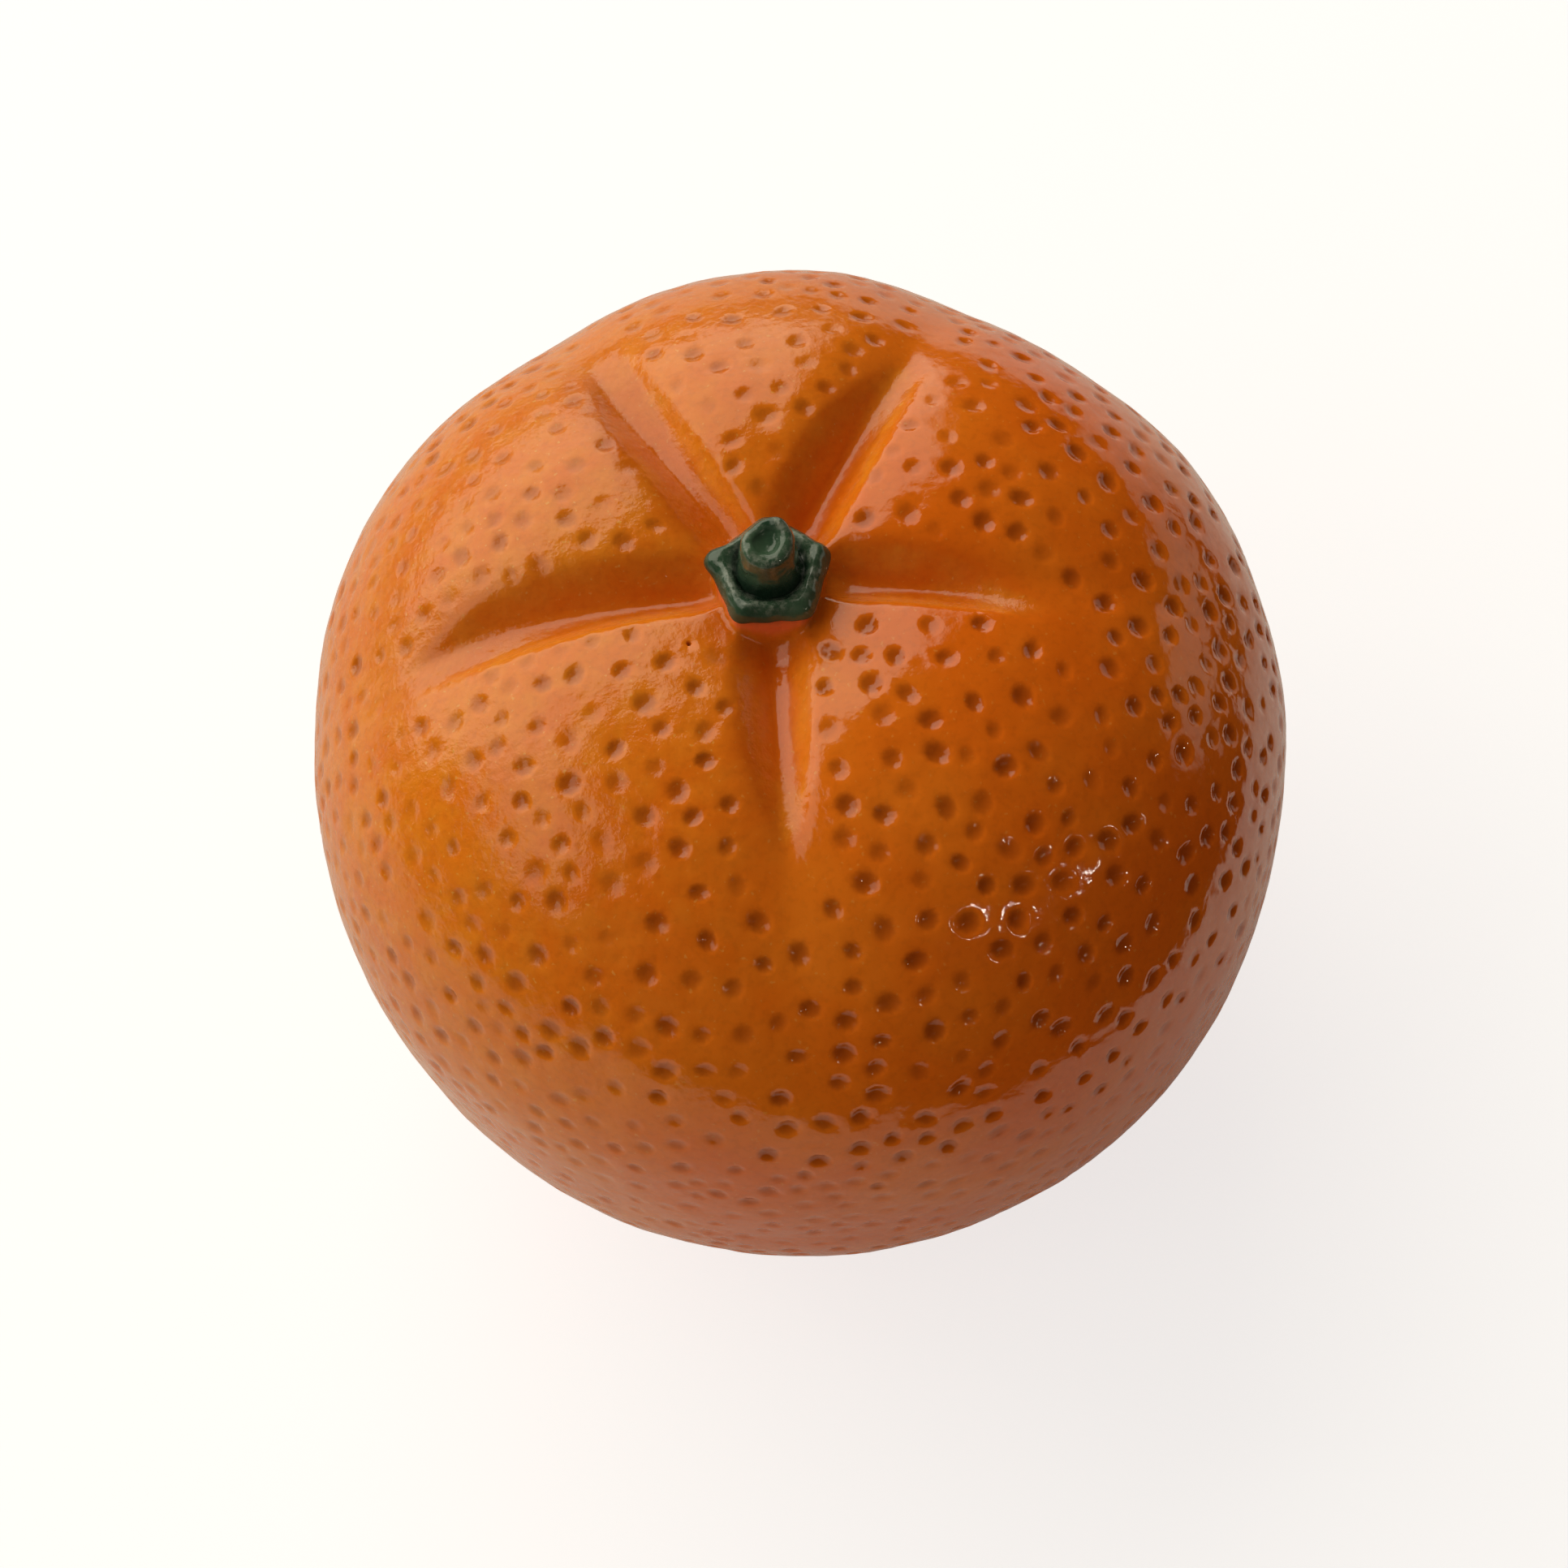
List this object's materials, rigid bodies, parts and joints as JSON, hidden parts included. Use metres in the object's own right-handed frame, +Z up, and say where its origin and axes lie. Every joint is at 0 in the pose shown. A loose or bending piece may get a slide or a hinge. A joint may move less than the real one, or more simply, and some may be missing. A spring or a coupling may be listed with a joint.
{
  "type": "ceramic mandarin orange figure",
  "caption": "Hollow glazed ceramic mandarin orange with pressed furrows, a green star-shaped calyx and a stem stub; stands on a flat foot ring.",
  "frame": {"origin": "on the table plane, under the middle of the figure's box", "axes": "+Z up through the stem, -Y towards the front, +X to the right"},
  "size_m": [0.0765, 0.0766, 0.0706],
  "materials": {
    "orange_glaze": "glossy transparent orange glaze over pale clay, pooling brown in dimples and furrows",
    "green_glaze": "semi-gloss dark green, thin and grey on raised edges"
  },
  "bodies": {
    "root": {"fruit_body": "orange_glaze", "calyx": "green_glaze", "stem": "green_glaze"}
  },
  "joints": []
}
